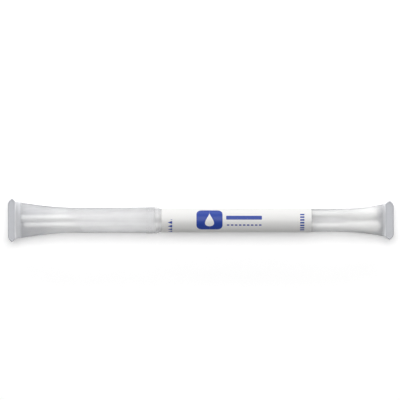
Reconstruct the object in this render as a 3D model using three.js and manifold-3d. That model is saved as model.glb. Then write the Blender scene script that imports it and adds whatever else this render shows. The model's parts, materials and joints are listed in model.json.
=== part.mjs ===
// Specimen swab tube: a plastic tube sealed flat at its far end, a push-on cap sealed
// flat at the other, and two fibre-tipped swabs inside. The cap slides over the tube's
// neck, a clear film band seals the joint, and a paper label wraps the tube.
//
// Millimetres, +Z up, +X along the tube from the cap to the sealed end. The tube lies
// on its round belly with both flat seals level, and the origin is on the table under
// the middle of the whole length.

import * as THREE from 'three';
import { mergeVertices } from 'three/addons/utils/BufferGeometryUtils.js';
import Module from 'manifold-3d';

const wasm = await Module();
wasm.setup();

// ---------------------------------------------------------------- driving dimensions

// Swabs
const swabLength = 152.4;
const shaftDiameter = 2.54;
const shaftChamfer = 0.2;
const tipDiameter = 5.2;
const tipLength = 17.6;
const tipNose = 4.4; // from the tip's round end back to its widest place
const tipNeckDiameter = 3.0; // where the fibre ends on the shaft
const tipPastShaft = 4.0; // fibre beyond the end of the shaft

// Tube body
const bodyDiameter = 9.9;
const bodyWall = 0.45;
const bodySealDepth = 3.7;
const bodyFlareLength = 20;
const bodyFlareCurve = 2.1; // exponent of the widening towards the seal
const bodyFlareSlack = 0.64; // half-width short of fully flat where the seal begins
const bodyEarReach = 1.5; // ear tip beyond the tube's half-width
const bodyEarSetback = 1.65; // ear tip from the outer edge
const bodyEndInset = 1.85; // outer corner in from the ear tip
const neckSetback = 1.15; // neck's end before the cap starts to flatten, on the axis
const neckCutAngle = 35; // degrees off square

// Cap
const capLength = 62.55;
const capWall = 0.38;
const capSealDepth = 3.1;
const capFlareLength = 24.3;
const capFlareCurve = 1.7;
const capFlareSlack = 0.39;
const capEarReach = 1.5;
const capEarSetback = 1.75;
const capEndInset = 1.8;
const mouthBell = 0.12; // gain in radius at the cap's mouth
const mouthBellLength = 20;

// Seals: a thin pressed web inside a slightly thicker rim
const webThickness = 0.7;
const rimThickness = 0.95;
const rimWidth = 0.45;
const earRound = 0.8; // length cut back from each ear tip
const cornerRound = 1.1; // length cut back from each outer corner
const sealRampLength = 3.0; // from the seal to where the section is free again
const sealOverlap = 0.3; // tube end buried in the seal
const cavityEndGap = 0.4; // closed end of the hollow, in from the seal
const buriedHeight = 0.23; // half-height of the tube end inside the seal

// Label and film band
const labelThickness = 0.1;
const labelLap = 3.0;
const labelLapAngle = 110; // degrees from the top, towards -Y
const labelSetback = 2.9; // from the cap's mouth
const labelToFlare = 11.5;
const filmThickness = 0.08;
const filmOnCap = 3.6; // from the cap's mouth back over the cap
const filmShoulder = 0.6; // level stretch past the mouth, before the film slopes down
const filmSlope = 1.6;

// Clearances
const capClearance = 0.08; // radial, cap bore to tube neck
const wrapClearance = 0.05; // radial, under the label and the film
const tearGap = 0.3; // between the film and the label
const shaftWallGap = 0.42; // shaft to bore, on the tip side
const shaftPairGap = 0.36; // between the two shafts' free ends
const tipClearance = 0.14; // tip to wall, and tip to tip
const coreClearance = 0.05; // radial, shaft in its tip
const coreEndGap = 0.3;
const seatGap = 0.25; // free shaft end to the wall that it rests on

// How the swabs lie: end room, stagger, and how far the pair leans sideways
const tipEndRoom = 1.3;
const freeEndRoom = 3.8;
const swabStagger = 1.3;
const tipPairShift = 0.25;
const freePairShift = -0.6;

// Faceting
const tubeFacets = 24;
const swabFacets = 24;
const flareSteps = 14;
const flareCrowding = 1.35; // exponent that crowds the steps towards the seal
const bellSteps = 3;
const noseSteps = 6;
const tipBodySteps = 7;
const roundingSteps = 3;

// Working values that leave no mark on the shape
const cutMargin = 1; // tube run on past an angled cut
const halvings = 40; // of the range in which a half-height is sought

// ------------------------------------------------------------------- derived sizes

// x = 0 is the cap's mouth until the whole group is centred at the end.
const insideLength = swabLength + tipEndRoom + freeEndRoom;
const bodyShownLength = insideLength + capSealDepth + bodySealDepth - capLength;
const capSealEdge = capSealDepth - capLength;
const bodySealEdge = bodyShownLength - bodySealDepth;
const neckEnd = capSealEdge + capFlareLength + neckSetback;

const bodyRadius = bodyDiameter / 2;
const boreRadius = bodyRadius - bodyWall;
const capRadius = bodyRadius + capClearance + capWall;
const mouthRadius = capRadius + mouthBell;
const shaftRadius = shaftDiameter / 2;
const labelStart = labelSetback;
const labelEnd = bodySealEdge - bodyFlareLength - labelToFlare;
const filmEnd = labelStart - tearGap;

// Half the outside width of a tube pressed fully flat.
const flatHalfWidth = ( radius, wall ) => Math.PI / 4 * ( 2 * radius - wall ) + wall / 2;

const bodyTube = {
	radius: bodyRadius,
	wall: bodyWall,
	sealEdge: bodySealEdge,
	outward: 1, // direction from the tube to its seal
	mouth: neckEnd,
	flareLength: bodyFlareLength,
	flareCurve: bodyFlareCurve,
	flareHalfWidth: flatHalfWidth( bodyRadius, bodyWall ) - bodyFlareSlack,
	bell: 0,
};

const capTube = {
	radius: capRadius,
	wall: capWall,
	sealEdge: capSealEdge,
	outward: - 1,
	mouth: 0,
	flareLength: capFlareLength,
	flareCurve: capFlareCurve,
	flareHalfWidth: flatHalfWidth( capRadius, capWall ) - capFlareSlack,
	bell: mouthBell,
};

// --------------------------------------------------------------------- solid helpers

// Keep positions only, merge shared vertices and drop the empty triangles that a
// profile leaves where it meets the axis.
function closedGeometry( geometry ) {

	geometry.deleteAttribute( 'normal' );
	geometry.deleteAttribute( 'uv' );
	const merged = mergeVertices( geometry );
	const corners = merged.index.array;
	const kept = [];
	for ( let i = 0; i < corners.length; i += 3 ) {

		const [ a, b, c ] = corners.slice( i, i + 3 );
		if ( a !== b && b !== c && c !== a ) kept.push( a, b, c );

	}

	merged.setIndex( kept );
	return merged;

}

function toSolid( geometry ) {

	const closed = closedGeometry( geometry );
	return new wasm.Manifold( new wasm.Mesh( {
		numProp: 3,
		vertProperties: new Float32Array( closed.attributes.position.array ),
		triVerts: new Uint32Array( closed.index.array ),
	} ) );

}

function toGeometry( solid ) {

	const mesh = solid.getMesh();
	const geometry = new THREE.BufferGeometry();
	geometry.setAttribute( 'position', new THREE.BufferAttribute( mesh.vertProperties, 3 ) );
	geometry.setIndex( new THREE.BufferAttribute( mesh.triVerts, 1 ) );
	geometry.computeVertexNormals();
	return geometry;

}

// Turn a profile of [ x, radius ] points round the X axis, with one side level below.
function turned( profile, facets ) {

	const points = profile.map( ( [ x, radius ] ) => new THREE.Vector2( radius, x ) );
	const geometry = new THREE.LatheGeometry( points, facets, Math.PI / facets );
	geometry.rotateZ( - Math.PI / 2 );
	return closedGeometry( geometry );

}

// Move every vertex by a rule that takes and returns a Vector3.
function reshape( geometry, rule ) {

	const position = geometry.attributes.position;
	const point = new THREE.Vector3();
	for ( let i = 0; i < position.count; i ++ ) {

		point.fromBufferAttribute( position, i );
		const moved = rule( point );
		position.setXYZ( i, moved.x, moved.y, moved.z );

	}

	return geometry;

}

// ----------------------------------------------------------------- flattened tubes

// Ramanujan's perimeter of an ellipse with half-axes a and b.
function ellipsePerimeter( a, b ) {

	const h = ( ( a - b ) / ( a + b ) ) ** 2;
	return Math.PI * ( a + b ) * ( 1 + 3 * h / ( 10 + Math.sqrt( 4 - 3 * h ) ) );

}

// Pressing a tube wider lowers it: find the outside half-height at which the middle of
// the wall is as long round the section as it was round the circle.
function freeHalfHeight( tube, halfWidth ) {

	const perimeter = Math.PI * ( 2 * tube.radius - tube.wall );
	const across = halfWidth - tube.wall / 2;
	let low = 0;
	let high = across;
	for ( let halving = 0; halving < halvings; halving ++ ) {

		const middle = ( low + high ) / 2;
		if ( ellipsePerimeter( across, middle ) < perimeter ) low = middle;
		else high = middle;

	}

	return low + tube.wall / 2;

}

// Outside half-width and half-height of a tube at x. It is round, widens by a power law
// towards its seal, and comes down onto the seal's web over the ramp.
function outsideAt( tube, x ) {

	const inFromSeal = ( tube.sealEdge - x ) * tube.outward;
	const flat = Math.max( 0, 1 - Math.max( 0, inFromSeal ) / tube.flareLength ) ** tube.flareCurve;
	const halfWidth = tube.radius + ( tube.flareHalfWidth - tube.radius ) * flat;
	const ramp = Math.min( 1, Math.max( 0, inFromSeal + sealOverlap ) / ( sealRampLength + sealOverlap ) );
	const opening = 1 - ( 1 - ramp ) ** 2;
	const halfHeight = THREE.MathUtils.lerp( buriedHeight, freeHalfHeight( tube, halfWidth ), opening );
	const fromMouth = Math.abs( x - tube.mouth );
	const bell = tube.bell * Math.max( 0, 1 - fromMouth / mouthBellLength ) ** 2;
	return { halfWidth: halfWidth + bell, halfHeight: halfHeight + bell };

}

function insideAt( tube, x ) {

	const { halfWidth, halfHeight } = outsideAt( tube, x );
	return { halfWidth: halfWidth - tube.wall, halfHeight: halfHeight - tube.wall };

}

// Stations along a tube from its seal inwards, closer together near the seal.
function flareStations( tube, first ) {

	const stations = [];
	for ( let step = 0; step <= flareSteps; step ++ ) {

		const inFromSeal = first + ( tube.flareLength - first ) * ( step / flareSteps ) ** flareCrowding;
		stations.push( tube.sealEdge - tube.outward * inFromSeal );

	}

	return stations;

}

function bellStations( tube ) {

	const stations = [];
	for ( let step = bellSteps; step > 0; step -- ) {

		stations.push( tube.mouth + tube.outward * mouthBellLength * step / bellSteps );

	}

	return tube.bell > 0 ? stations : [];

}

// One tube wall: a straight round shell, turned as a profile and then pressed to its
// section at every station. The mouth may run on past its station to be cut back.
function tubeShell( tube, mouth ) {

	const seal = tube.sealEdge + tube.outward * sealOverlap;
	const outer = [ seal, ...flareStations( tube, 0 ), ...bellStations( tube ), mouth ];
	const inner = [ ...flareStations( tube, cavityEndGap ), ...bellStations( tube ), mouth ];
	const profile = [
		[ outer[ 0 ], 0 ],
		...outer.map( ( x ) => [ x, tube.radius ] ),
		...inner.reverse().map( ( x ) => [ x, tube.radius - tube.wall ] ),
		[ tube.sealEdge - tube.outward * cavityEndGap, 0 ],
	];
	if ( tube.outward > 0 ) profile.reverse();

	return reshape( turned( profile, tubeFacets ), ( point ) => {

		const radius = Math.hypot( point.y, point.z );
		if ( radius === 0 ) return point;
		const isOutside = radius > tube.radius - tube.wall / 2;
		const section = isOutside ? outsideAt( tube, point.x ) : insideAt( tube, point.x );
		point.y *= section.halfWidth / radius;
		point.z *= section.halfHeight / radius;
		return point;

	} );

}

// ------------------------------------------------------------------------ flat seals

// Move each side of a polygon in by a distance. Corners run anticlockwise.
function insetCorners( corners, distance ) {

	return corners.map( ( corner, i ) => {

		const before = corners[ ( i + corners.length - 1 ) % corners.length ];
		const after = corners[ ( i + 1 ) % corners.length ];
		const sideIn = new THREE.Vector2().subVectors( corner, before ).normalize();
		const sideOut = new THREE.Vector2().subVectors( after, corner ).normalize();
		const normal = new THREE.Vector2( - sideIn.y - sideOut.y, sideIn.x + sideOut.x );
		return normal.multiplyScalar( distance / ( 1 + sideIn.dot( sideOut ) ) ).add( corner );

	} );

}

// A closed outline whose corners are cut back and rounded by a curve. Each corner holds
// its own cut-back length, and a length of zero keeps it sharp.
function roundedOutline( corners, cutBacks, outline ) {

	corners.forEach( ( corner, i ) => {

		const before = corners[ ( i + corners.length - 1 ) % corners.length ];
		const after = corners[ ( i + 1 ) % corners.length ];
		const start = new THREE.Vector2().subVectors( before, corner ).setLength( cutBacks[ i ] ).add( corner );
		const end = new THREE.Vector2().subVectors( after, corner ).setLength( cutBacks[ i ] ).add( corner );
		if ( i === 0 ) outline.moveTo( start.x, start.y );
		else outline.lineTo( start.x, start.y );
		if ( cutBacks[ i ] > 0 ) outline.quadraticCurveTo( corner.x, corner.y, end.x, end.y );

	} );

	return outline;

}

function plate( outline, thickness ) {

	const geometry = new THREE.ExtrudeGeometry( outline, {
		depth: thickness,
		bevelEnabled: false,
		curveSegments: roundingSteps,
	} );
	geometry.translate( 0, 0, - thickness / 2 );
	return toSolid( geometry );

}

// The pressed seal: six corners, two of them the ears, as a web with a raised rim.
function sealPlate( tube, { depth, earReach, earSetback, endInset } ) {

	const earHalf = tube.flareHalfWidth + earReach;
	const place = ( fromEdge, y ) => new THREE.Vector2( tube.sealEdge + tube.outward * fromEdge, y );
	const oneSide = [
		place( depth, endInset - earHalf ),
		place( depth, earHalf - endInset ),
		place( depth - earSetback, earHalf ),
		place( 0, tube.flareHalfWidth ),
		place( 0, - tube.flareHalfWidth ),
		place( depth - earSetback, - earHalf ),
	];
	const rounding = [ cornerRound, cornerRound, earRound, 0, 0, earRound ];
	const isMirrored = tube.outward < 0;
	const corners = isMirrored ? oneSide.toReversed() : oneSide;
	const cutBacks = isMirrored ? rounding.toReversed() : rounding;

	const rim = roundedOutline( corners, cutBacks, new THREE.Shape() );
	rim.holes.push( roundedOutline( insetCorners( corners, rimWidth ), cutBacks, new THREE.Path() ) );
	const web = roundedOutline( corners, cutBacks, new THREE.Shape() );
	return plate( web, webThickness ).add( plate( rim, rimThickness ) );

}

// ---------------------------------------------------------------------------- pieces

function makeBody() {

	// The neck runs on past its end and is cut back at an angle.
	const slope = THREE.MathUtils.degToRad( neckCutAngle );
	const runOn = bodyRadius * Math.tan( slope ) + cutMargin;
	const shell = toSolid( tubeShell( bodyTube, neckEnd - runOn ) );
	const cutterSize = bodyDiameter + insideLength;
	const cutter = new THREE.BoxGeometry( cutterSize, cutterSize, cutterSize );
	cutter.translate( - cutterSize / 2, 0, 0 );
	cutter.rotateZ( slope );
	cutter.translate( neckEnd, 0, 0 );
	const seal = sealPlate( bodyTube, {
		depth: bodySealDepth,
		earReach: bodyEarReach,
		earSetback: bodyEarSetback,
		endInset: bodyEndInset,
	} );
	return toGeometry( shell.subtract( toSolid( cutter ) ).add( seal ) );

}

function makeCap() {

	const seal = sealPlate( capTube, {
		depth: capSealDepth,
		earReach: capEarReach,
		earSetback: capEarSetback,
		endInset: capEndInset,
	} );
	return toGeometry( toSolid( tubeShell( capTube, capTube.mouth ) ).add( seal ) );

}

// The label is a wrapped strip. Where its end laps over its start it is two plies thick.
function makeLabel() {

	const inner = bodyRadius + wrapClearance;
	const outer = inner + labelThickness;
	const facetAngle = 2 * Math.PI / tubeFacets;
	const lapFacets = Math.max( 1, Math.round( labelLap / ( outer * facetAngle ) ) );
	const lapStart = Math.round( THREE.MathUtils.degToRad( labelLapAngle ) / facetAngle );
	const corner = ( i, radius ) => {

		const angle = ( i + 0.5 ) * facetAngle;
		return new THREE.Vector2( - radius * Math.cos( angle ), - radius * Math.sin( angle ) );

	};

	const outside = [];
	const bore = [];
	for ( let i = 0; i < tubeFacets; i ++ ) {

		const fromLap = i - lapStart;
		const isLapped = fromLap >= 0 && fromLap <= lapFacets;
		const isStep = fromLap === 0 || fromLap === lapFacets;
		const lapped = corner( i, outer + labelThickness );
		if ( ! isLapped ) outside.push( corner( i, outer ) );
		else if ( ! isStep ) outside.push( lapped );
		else if ( fromLap === 0 ) outside.push( corner( i, outer ), lapped );
		else outside.push( lapped, corner( i, outer ) );
		bore.push( corner( i, inner ) );

	}

	const section = new THREE.Shape( outside );
	section.holes.push( new THREE.Path( bore ) );
	const geometry = new THREE.ExtrudeGeometry( section, {
		depth: labelEnd - labelStart,
		bevelEnabled: false,
	} );
	geometry.rotateY( Math.PI / 2 );
	geometry.translate( labelStart, 0, 0 );
	return closedGeometry( geometry );

}

// The film is level over the cap's end, slopes down past its mouth, and ends on the tube
// at the tear line.
function makeFilm() {

	const underside = [
		[ - filmOnCap, mouthRadius ],
		[ filmShoulder, mouthRadius ],
		[ filmShoulder + filmSlope, bodyRadius ],
		[ filmEnd, bodyRadius ],
	].map( ( [ x, radius ] ) => [ x, radius + wrapClearance ] );
	const topside = underside.map( ( [ x, radius ] ) => [ x, radius + filmThickness ] );
	return turned( [ ...topside, ...underside.toReversed(), topside[ 0 ] ], tubeFacets );

}

// A swab lies along its own X axis: shaft from x = 0, fibre tip round its far end.
function makeShaft() {

	const end = swabLength - tipPastShaft;
	return turned( [
		[ 0, 0 ],
		[ 0, shaftRadius - shaftChamfer ],
		[ shaftChamfer, shaftRadius ],
		[ end, shaftRadius ],
		[ end, 0 ],
	], swabFacets );

}

// The tip's radius at a distance back from its round end: a quarter ellipse up to the
// widest place, then a quarter cosine down to the neck.
function tipRadiusAt( back ) {

	const widest = tipDiameter / 2;
	const neck = tipNeckDiameter / 2;
	if ( back < tipNose ) return widest * Math.sqrt( 1 - ( 1 - back / tipNose ) ** 2 );
	const along = ( back - tipNose ) / ( tipLength - tipNose );
	return neck + ( widest - neck ) * Math.cos( Math.PI / 2 * along );

}

function makeTip() {

	const bore = shaftRadius + coreClearance;
	const boreEnd = swabLength - tipPastShaft + coreEndGap;
	const start = swabLength - tipLength;
	const profile = [ [ boreEnd, 0 ], [ boreEnd, bore ], [ start, bore ] ];
	for ( let step = tipBodySteps; step > 0; step -- ) {

		const back = tipNose + ( tipLength - tipNose ) * step / tipBodySteps;
		profile.push( [ swabLength - back, tipRadiusAt( back ) ] );

	}

	for ( let step = noseSteps; step > 0; step -- ) {

		const back = tipNose * ( 1 - Math.cos( Math.PI / 2 * step / noseSteps ) );
		profile.push( [ swabLength - back, tipRadiusAt( back ) ] );

	}

	profile.push( [ swabLength, 0 ] );
	return turned( profile, swabFacets );

}

// Where one swab lies. Side is +1 for the swab towards +Y and -1 for the other. Its tip
// is wedged level with the tube's axis and its free end rests on the cap's lower wall.
function swabPlace( side ) {

	const stagger = side > 0 ? swabStagger : 0;
	const tipOffset = boreRadius - shaftRadius - shaftWallGap;
	const freeOffset = shaftRadius + shaftPairGap / 2;
	const tipY = tipPairShift + side * tipOffset;
	const freeY = freePairShift + side * freeOffset;
	const freeX = capSealEdge + freeEndRoom - stagger;
	const room = insideAt( capTube, freeX );
	const floor = - room.halfHeight * Math.sqrt( 1 - ( freeY / room.halfWidth ) ** 2 );
	const freeZ = floor + seatGap + shaftRadius;
	const run = Math.sqrt( swabLength ** 2 - ( tipY - freeY ) ** 2 - freeZ ** 2 );
	return {
		freeEnd: new THREE.Vector3( freeX, freeY, freeZ ),
		tipEnd: new THREE.Vector3( freeX + run, tipY, 0 ),
	};

}

// Half-way between the two swabs at x.
function pairMiddle( x, places ) {

	const ends = places.map( ( { freeEnd, tipEnd } ) => {

		const along = ( x - freeEnd.x ) / ( tipEnd.x - freeEnd.x );
		return THREE.MathUtils.lerp( freeEnd.y, tipEnd.y, along );

	} );
	return ( ends[ 0 ] + ends[ 1 ] ) / 2;

}

// A soft tip gives way to the tube's wall and to the other tip: points outside the
// hollow come in to its wall, and none crosses the middle between the two.
function squeezed( geometry, frame, side, places ) {

	geometry.applyMatrix4( frame );
	reshape( geometry, ( point ) => {

		const room = insideAt( bodyTube, point.x );
		const reach = Math.hypot(
			point.y / ( room.halfWidth - tipClearance ),
			point.z / ( room.halfHeight - tipClearance ),
		);
		if ( reach > 1 ) {

			point.y /= reach;
			point.z /= reach;

		}

		const nearest = side * pairMiddle( point.x, places ) + tipClearance / 2;
		point.y = side * Math.max( side * point.y, nearest );
		return point;

	} );
	return geometry.applyMatrix4( frame.clone().invert() );

}

// ------------------------------------------------------------------------- materials

const finish = ( color, roughness, opacity = 1 ) => new THREE.MeshStandardMaterial( {
	color,
	roughness,
	metalness: 0,
	opacity,
	transparent: opacity < 1,
	flatShading: true,
} );

const milkyPlastic = () => finish( 0xe4e6ea, 0.35, 0.55 );
const clearFilm = () => finish( 0xf2f4f6, 0.15, 0.3 );
const whitePaper = () => finish( 0xf7f7f5, 0.6 );
const whiteShaft = () => finish( 0xf1f1ee, 0.4 );
const whiteFibre = () => finish( 0xfafaf8, 0.95 );

// -------------------------------------------------------------------------- assembly

function named( name, geometry, material ) {

	const mesh = new THREE.Mesh( geometry, material );
	mesh.name = name;
	return mesh;

}

const swabTube = new THREE.Group();
swabTube.add(
	named( 'tube_body', makeBody(), milkyPlastic() ),
	named( 'cap', makeCap(), milkyPlastic() ),
	named( 'tamper_seal', makeFilm(), clearFilm() ),
	named( 'label', makeLabel(), whitePaper() ),
);

const sides = [ 1, - 1 ];
const places = sides.map( swabPlace );
sides.forEach( ( side, i ) => {

	const { freeEnd, tipEnd } = places[ i ];
	const direction = new THREE.Vector3().subVectors( tipEnd, freeEnd ).normalize();
	const swab = new THREE.Group();
	swab.position.copy( freeEnd );
	swab.quaternion.setFromUnitVectors( new THREE.Vector3( 1, 0, 0 ), direction );
	swab.updateMatrix();
	const number = i + 1;
	const tip = squeezed( makeTip(), swab.matrix, side, places );
	swab.add(
		named( `swab_shaft_${ number }`, makeShaft(), whiteShaft() ),
		named( `swab_tip_${ number }`, tip, whiteFibre() ),
	);
	swabTube.add( swab );

} );

// Stand the lowest facet, which is the film's, on the table, and centre the length.
const filmRadius = mouthRadius + wrapClearance + filmThickness;
const axisHeight = filmRadius * Math.cos( Math.PI / tubeFacets );
swabTube.position.set( ( capLength - bodyShownLength ) / 2, 0, axisHeight );

export default swabTube;
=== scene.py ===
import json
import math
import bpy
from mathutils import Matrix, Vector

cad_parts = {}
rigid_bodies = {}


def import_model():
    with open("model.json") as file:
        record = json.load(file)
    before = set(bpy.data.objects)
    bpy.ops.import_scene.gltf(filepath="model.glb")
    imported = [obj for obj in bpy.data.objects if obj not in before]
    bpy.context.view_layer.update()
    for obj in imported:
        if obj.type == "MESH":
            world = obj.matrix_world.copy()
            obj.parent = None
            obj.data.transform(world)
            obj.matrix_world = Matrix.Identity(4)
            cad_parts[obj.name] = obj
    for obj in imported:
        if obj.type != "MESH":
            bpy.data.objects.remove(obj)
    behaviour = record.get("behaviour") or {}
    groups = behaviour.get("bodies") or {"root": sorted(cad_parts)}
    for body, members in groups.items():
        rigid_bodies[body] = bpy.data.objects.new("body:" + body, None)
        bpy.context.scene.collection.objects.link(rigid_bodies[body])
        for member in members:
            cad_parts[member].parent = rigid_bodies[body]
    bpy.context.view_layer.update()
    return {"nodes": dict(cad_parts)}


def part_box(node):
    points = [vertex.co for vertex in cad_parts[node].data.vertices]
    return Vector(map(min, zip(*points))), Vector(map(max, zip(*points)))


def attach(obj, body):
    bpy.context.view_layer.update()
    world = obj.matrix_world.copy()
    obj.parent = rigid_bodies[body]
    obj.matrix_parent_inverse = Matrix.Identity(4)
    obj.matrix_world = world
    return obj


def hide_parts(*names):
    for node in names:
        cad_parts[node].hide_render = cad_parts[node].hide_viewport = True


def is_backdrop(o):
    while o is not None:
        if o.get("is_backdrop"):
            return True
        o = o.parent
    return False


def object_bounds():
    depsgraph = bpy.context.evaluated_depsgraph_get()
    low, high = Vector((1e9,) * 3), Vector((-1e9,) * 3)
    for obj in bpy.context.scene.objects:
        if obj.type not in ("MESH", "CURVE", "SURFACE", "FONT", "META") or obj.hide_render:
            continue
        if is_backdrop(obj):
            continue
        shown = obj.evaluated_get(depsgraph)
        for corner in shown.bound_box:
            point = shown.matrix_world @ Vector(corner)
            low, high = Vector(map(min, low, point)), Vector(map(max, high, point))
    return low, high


bl_info = {
    "name": "Specimen swab tube",
    "version": (1, 0, 0),
    "blender": (4, 5, 0),
    "location": "View3D > Sidebar > Swab Tube",
    "description": "A sealed plastic tube with a push-on cap, a label and two swabs",
    "category": "Add Mesh",
}

from dataclasses import dataclass

import bmesh
import bpy
import numpy as np
from bpy.props import FloatProperty, FloatVectorProperty, IntProperty, PointerProperty
from bpy.types import Operator, Panel, PropertyGroup

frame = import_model()

BODY_LOW, BODY_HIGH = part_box("tube_body")
CAP_LOW, CAP_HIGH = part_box("cap")
FILM_LOW, FILM_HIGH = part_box("tamper_seal")
LABEL_LOW, LABEL_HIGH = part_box("label")
AXIS_HEIGHT = (BODY_LOW.z + BODY_HIGH.z) / 2
TAU = 2 * math.pi
MM = 0.001
WHITE = (1, 1, 1, 1)


# ---- settings


def length(name, default, description, least=0):
    """A length or place, given in millimetres and kept in metres."""
    default *= MM
    return FloatProperty(
        name=name, description=description, default=default, min=least, unit="LENGTH", precision=5
    )


def share(name, default, description):
    """A property between nought and one."""
    return FloatProperty(
        name=name, description=description, default=default, min=0, max=1, subtype="FACTOR"
    )


def number(name, default, description):
    """A plain positive number."""
    return FloatProperty(name=name, description=description, default=default, min=0)


def colour(name, default, description):
    """A colour in linear light."""
    return FloatVectorProperty(
        name=name, description=description, default=default, size=3, min=0, max=1, subtype="COLOR"
    )


def angle(name, default, description):
    """An angle, given in degrees and kept in radians."""
    return FloatProperty(
        name=name, description=description, default=math.radians(default), subtype="ANGLE"
    )


class TubeSizes(PropertyGroup):
    """Sizes of the tube body and the cap, and of both flat seals."""

    body_diameter: length("Body diameter", 9.9, "Outside diameter of the tube body")
    body_wall: length("Body wall", 0.45, "Wall thickness of the tube body")
    neck_setback: length("Neck setback", 1.15, "Neck's end before the cap's flare, on the axis")
    neck_cut: angle("Neck cut", 35, "Slant of the neck's end, off square")
    cap_wall: length("Cap wall", 0.38, "Wall thickness of the cap")
    cap_clearance: length("Cap clearance", 0.08, "Gap between the cap's bore and the neck")
    mouth_bell: length("Mouth bell", 0.12, "Gain in radius at the cap's mouth")
    mouth_bell_length: length("Mouth bell length", 20, "Length over which the mouth widens")
    web: length("Seal web", 0.7, "Thickness of the seals inside their rims")
    rim: length("Seal rim", 0.95, "Thickness of the seals' rims")
    rim_width: length("Rim width", 0.45, "Width of the raised rim")
    ear_round: length("Ear rounding", 0.8, "Length cut back from each ear tip")
    corner_round: length("Corner rounding", 1.1, "Length cut back from each outer corner")
    ramp: length("Seal ramp", 3.0, "From the seal to where the section is free again")


# Field, kind, name, the body's default, the cap's default and description
PRESSED_END = (
    ("seal_depth", length, "Seal depth", 3.7, 3.1, "Length of the flat seal"),
    ("flare_length", length, "Flare", 20, 24.3, "Length over which the tube widens to its seal"),
    ("flare_curve", number, "Flare curve", 2.1, 1.7, "Power of the widening"),
    ("flare_slack", length, "Flare slack", 0.64, 0.39, "Half-width short of fully flat"),
    ("stuck_run", length, "Stuck run", 1.6, 3.0, "How far the walls stay stuck past the seal"),
    # The greyed run is painted shade: over it the flare's tint and the light let through darken
    # towards the seal
    ("greyed_run", length, "Greyed run", 4, 22, "Length of the flare that pressing has greyed"),
    ("ear_reach", length, "Ear reach", 1.5, 1.5, "Ear tip beyond the tube's half-width"),
    ("ear_setback", length, "Ear setback", 1.65, 1.75, "Ear tip in from the outer edge"),
    ("end_inset", length, "End inset", 1.85, 1.8, "Outer corner in from the ear tip"),
)


class BodyEnd(PropertyGroup):
    """The pressed end of the tube body."""

    __annotations__ = {
        field: kind(name, body, note) for field, kind, name, body, cap, note in PRESSED_END
    }


class CapEnd(PropertyGroup):
    """The pressed end of the cap."""

    __annotations__ = {
        field: kind(name, cap, note) for field, kind, name, body, cap, note in PRESSED_END
    }


class WrapSizes(PropertyGroup):
    """Sizes of the label and the film band."""

    clearance: length("Wrap clearance", 0.05, "Gap under the label and the film")
    label_thickness: length("Label thickness", 0.1, "Thickness of one ply of the label")
    label_lap: length("Label lap", 3.0, "Length by which the label laps over itself")
    label_lap_angle: angle("Lap angle", 112.5, "Where the lap starts, from the top towards -Y")
    film_thickness: length("Film thickness", 0.08, "Thickness of the film band")
    film_shoulder: length("Film shoulder", 0.6, "Level stretch past the cap's mouth")
    film_slope: length("Film slope", 1.6, "Length over which the film comes down to the tube")
    film_ripple: length("Film ripple", 0.02, "Height of the wrinkles shrunk into the film")


class SwabSizes(PropertyGroup):
    """Sizes of the two swabs."""

    shaft_diameter: length("Shaft diameter", 2.54, "Diameter of the shaft")
    shaft_chamfer: length("Shaft chamfer", 0.2, "Rounding of the shaft's free end")
    tip_diameter: length("Tip diameter", 5.2, "Widest diameter of the fibre tip")
    tip_neck: length("Tip neck", 3.0, "Diameter at which the fibre ends on the shaft")
    tip_length: length("Tip length", 17.6, "Length of the fibre tip")
    tip_nose: length("Tip nose", 4.4, "From the round end to the widest place")
    tip_clearance: length("Tip clearance", 0.16, "Tip to wall, and tip to tip")
    core_clearance: length("Core clearance", 0.05, "Shaft in its tip")
    ridge: length("Fibre ridges", 0.05, "Height of the ridges that the wound fibre makes")
    strand_count: IntProperty(
        name="Loose strands", description="Loose fibres on each tip", default=320, min=0
    )
    strand_diameter: length("Strand diameter", 0.03, "Thickness of a loose fibre")


class Finishes(PropertyGroup):
    """Colours and finishes."""

    plastic: colour("Plastic", (0.985, 0.985, 0.995), "The tube's milky plastic")
    # Painted shade: the greyed tint darkens the flare beside each seal
    plastic_flare_shade: colour("Greyed plastic", (0.86, 0.865, 0.88), "The same beside a seal")
    # Painted shade: the stuck and sealed tints darken the plastic next to and in the seals
    plastic_stuck_shade: colour("Stuck plastic", (0.725, 0.735, 0.76), "The same where its walls stick")
    plastic_seal_shade: colour("Sealed plastic", (0.55, 0.56, 0.59), "The same where it is welded")
    plastic_clear: colour("Clear plastic", (0.995, 0.995, 1.0), "The tint of light let through")
    # Painted shade: the light let through beside a seal is darkened
    plastic_clear_flare_shade: colour("Clear greyed", (0.945, 0.945, 0.955), "That beside a seal")
    plastic_shade: colour("Plastic shade", (0.14, 0.16, 0.19), "That seen edge on")
    plastic_cover: share("Plastic cover", 0.34, "How much one face of the plastic hides")
    plastic_seal: share("Seal cover", 0.66, "How much more it hides where its walls stick")
    plastic_haze: share("Plastic haze", 0.5, "How much of the lamps' light one face scatters")
    plastic_neck: share("Neck cover", 0.35, "How much more it hides on the neck, inside the cap")
    plastic_shadow: share("Shadow cover", 0.5, "How much more it shields what lies bare beside it")
    plastic_edge: share("Edge cover", 0.3, "How much more it hides edge on")
    plastic_glow: share("Plastic glow", 0.9, "Share of light that the plastic passes on, softened")
    plastic_roughness: share("Plastic roughness", 0.36, "Roughness of the plastic")
    film_cover: share("Film cover", 0.03, "How much one skin of the film hides")
    paper: colour("Paper", (0.80, 0.795, 0.785), "The label's stock")
    ink: colour("Ink", (0.020, 0.052, 0.30), "The label's print")
    shaft: colour("Shaft", (0.98, 0.98, 0.97), "The swabs' moulded shafts")
    fibre: colour("Fibre", (0.985, 0.985, 0.975), "The swabs' fibre tips")


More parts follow.
